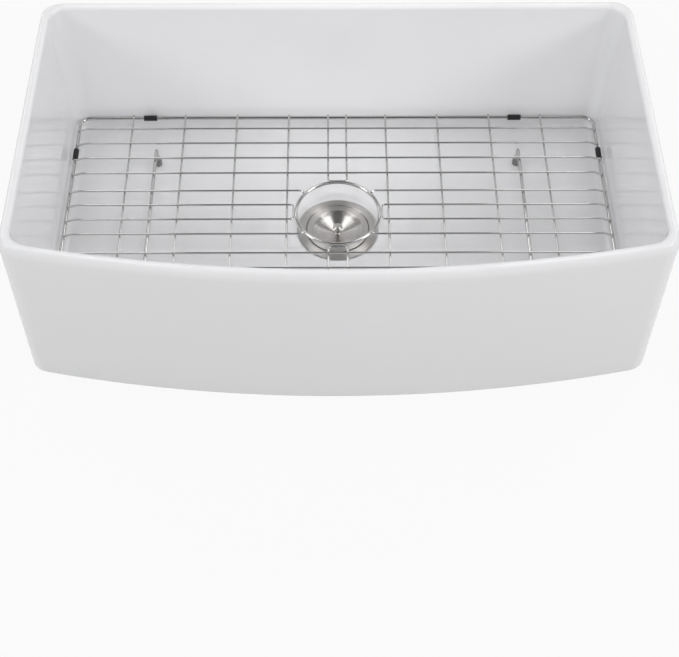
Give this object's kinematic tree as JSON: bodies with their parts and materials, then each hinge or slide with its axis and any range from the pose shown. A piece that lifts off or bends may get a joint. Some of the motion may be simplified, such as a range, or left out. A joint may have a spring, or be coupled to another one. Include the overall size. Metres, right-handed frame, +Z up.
{
  "type": "kitchen sink",
  "caption": "Bowed apron-front kitchen sink with one deep bowl, a lift-out wire bottom grid on rubber feet, and a basket strainer with a lift-out basket and lid.",
  "frame": {"origin": "on the axis of the drain, in the flat plane of the underside", "axes": "+X right as seen from the front, +Y towards the wall behind, +Z up; the apron faces -Y"},
  "size_m": [0.8382, 0.5089, 0.312],
  "materials": {
    "glaze": "gloss",
    "brushed_steel": "satin",
    "bright_steel": "gloss",
    "black_rubber": "matte",
    "grey_rubber": "matte",
    "fibre": "matte",
    "cast_metal": "satin"
  },
  "bodies": {
    "basin": {"sink_basin": "glaze", "strainer_body": "brushed_steel", "flange_gasket": "black_rubber", "rubber_washer": "black_rubber", "fibre_washer": "fibre", "lock_nut": "cast_metal"},
    "grid": {"grid_frame_front_1": "bright_steel", "grid_frame_front_2": "bright_steel", "grid_frame_front_3": "bright_steel", "grid_frame_front_4": "bright_steel", "grid_frame_left": "bright_steel", "grid_frame_right": "bright_steel", "grid_frame_rear": "bright_steel", "grid_ring": "bright_steel", "long_wire_01": "bright_steel", "long_wire_02": "bright_steel", "long_wire_03": "bright_steel", "long_wire_04": "bright_steel", "long_wire_09": "bright_steel", "long_wire_10": "bright_steel", "long_wire_11": "bright_steel", "long_wire_12": "bright_steel", "long_wire_13": "bright_steel", "long_wire_14": "bright_steel", "short_wire_rear_left": "bright_steel", "short_wire_front_left": "bright_steel", "side_hairpin_left": "bright_steel", "cross_wire_left_1": "bright_steel", "cross_wire_left_2": "bright_steel", "cross_wire_left_3": "bright_steel", "cross_wire_left_4": "bright_steel", "short_wire_rear_right": "bright_steel", "short_wire_front_right": "bright_steel", "side_hairpin_right": "bright_steel", "cross_wire_right_1": "bright_steel", "cross_wire_right_2": "bright_steel", "cross_wire_right_3": "bright_steel", "cross_wire_right_4": "bright_steel", "end_hairpin_rear": "bright_steel", "end_hairpin_front": "bright_steel", "leg_wire_left": "bright_steel", "leg_wire_right": "bright_steel", "foot_left_rear": "grey_rubber", "foot_left_front": "grey_rubber", "foot_right_rear": "grey_rubber", "foot_right_front": "grey_rubber", "bumper_rear_left": "black_rubber", "bumper_rear_right": "black_rubber", "bumper_left_rear": "black_rubber", "bumper_left_front": "black_rubber", "bumper_right_rear": "black_rubber", "bumper_right_front": "black_rubber", "bumper_front_left": "black_rubber", "bumper_front_right": "black_rubber"},
    "basket": {"strainer_basket": "brushed_steel"},
    "lid": {"lid_plate": "brushed_steel", "lid_knob": "brushed_steel", "lid_gasket": "black_rubber"}
  },
  "joints": [
    {"name": "grid_lift", "type": "slide", "parent": "basin", "child": "grid", "axis": [0, 0, 1], "range_m": [0, 0.24]},
    {"name": "basket_lift", "type": "slide", "parent": "basin", "child": "basket", "axis": [0, 0, 1], "range_m": [0, 0.09]},
    {"name": "lid_lift", "type": "slide", "parent": "basket", "child": "lid", "axis": [0, 0, 1], "range_m": [0, 0.05]}
  ]
}
